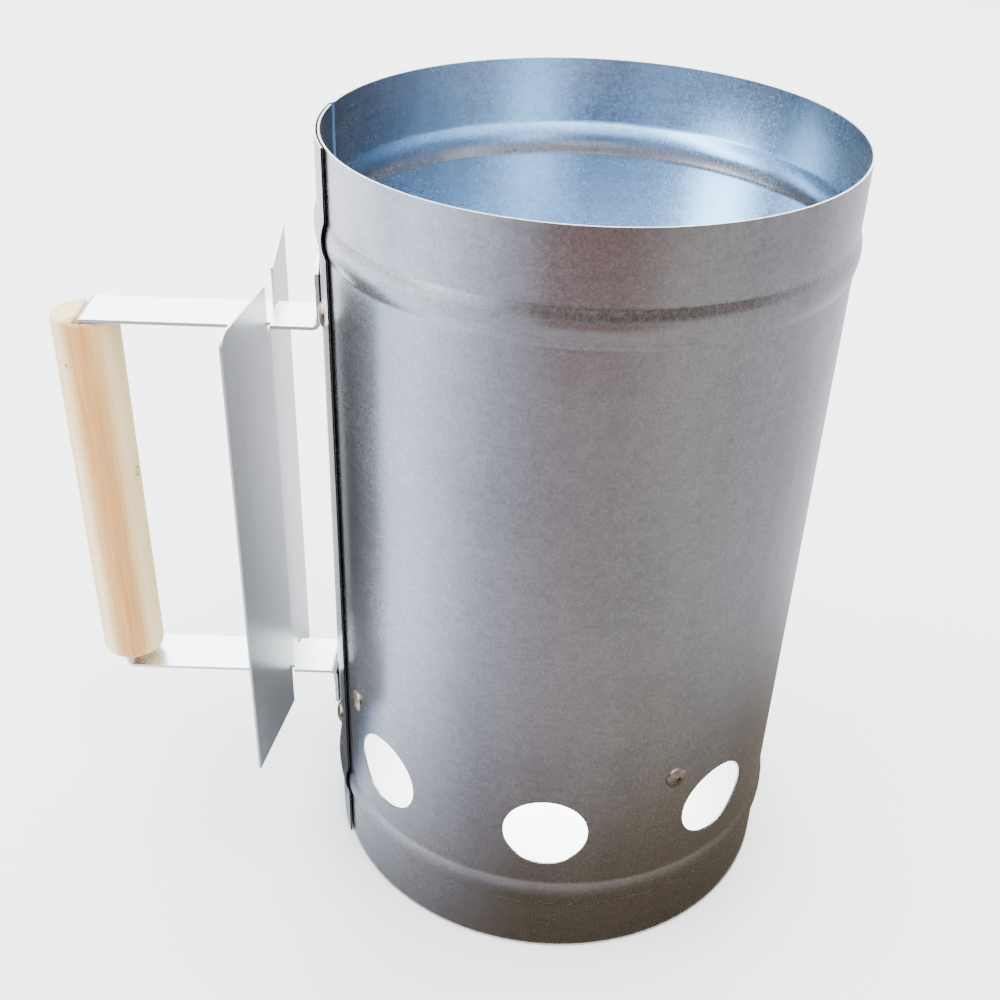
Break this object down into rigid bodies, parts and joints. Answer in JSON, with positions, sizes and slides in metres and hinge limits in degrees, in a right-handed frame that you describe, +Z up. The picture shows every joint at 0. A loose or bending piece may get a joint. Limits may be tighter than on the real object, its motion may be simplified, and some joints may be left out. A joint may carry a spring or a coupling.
{
  "type": "chimney charcoal starter",
  "caption": "Open galvanised steel tube with rolled beads, air vents near the base, an inner charcoal grate, and a side handle with a wooden grip behind a sheet heat shield.",
  "frame": {"origin": "centre of the tube's base circle, on the surface it stands on", "axes": "+Z up along the tube's axis; the handle points along -X; +Y is the side away from the side the seam's free edge faces"},
  "size_m": [0.2648, 0.1724, 0.279],
  "materials": {
    "galvanised_body": "satin galvanised sheet with fine grain",
    "grate_steel": "plain galvanised, slightly dull",
    "galvanised_strap": "bright zinc plated strip",
    "galvanised_shield": "semi-gloss galvanised sheet",
    "grip_wood": "raw sanded pale softwood",
    "rivet_aluminium": "plain turned",
    "mandrel_steel": "dark broken steel"
  },
  "bodies": {
    "root": {"body_shell": "galvanised_body", "charcoal_grate": "grate_steel", "handle_strap": "galvanised_strap", "heat_shield": "galvanised_shield", "wooden_grip": "grip_wood", "grate_rivet_front_right": "rivet_aluminium", "grate_mandrel_front_right": "mandrel_steel", "grate_rivet_back_right": "rivet_aluminium", "grate_mandrel_back_right": "mandrel_steel", "grate_rivet_back_left": "rivet_aluminium", "grate_mandrel_back_left": "mandrel_steel", "grate_rivet_front_left": "rivet_aluminium", "grate_mandrel_front_left": "mandrel_steel", "handle_rivet_upper": "rivet_aluminium", "handle_mandrel_upper": "mandrel_steel", "seam_rivet_upper": "rivet_aluminium", "seam_mandrel_upper": "mandrel_steel", "handle_rivet_lower": "rivet_aluminium", "handle_mandrel_lower": "mandrel_steel", "seam_rivet_lower": "rivet_aluminium", "seam_mandrel_lower": "mandrel_steel"}
  },
  "joints": []
}
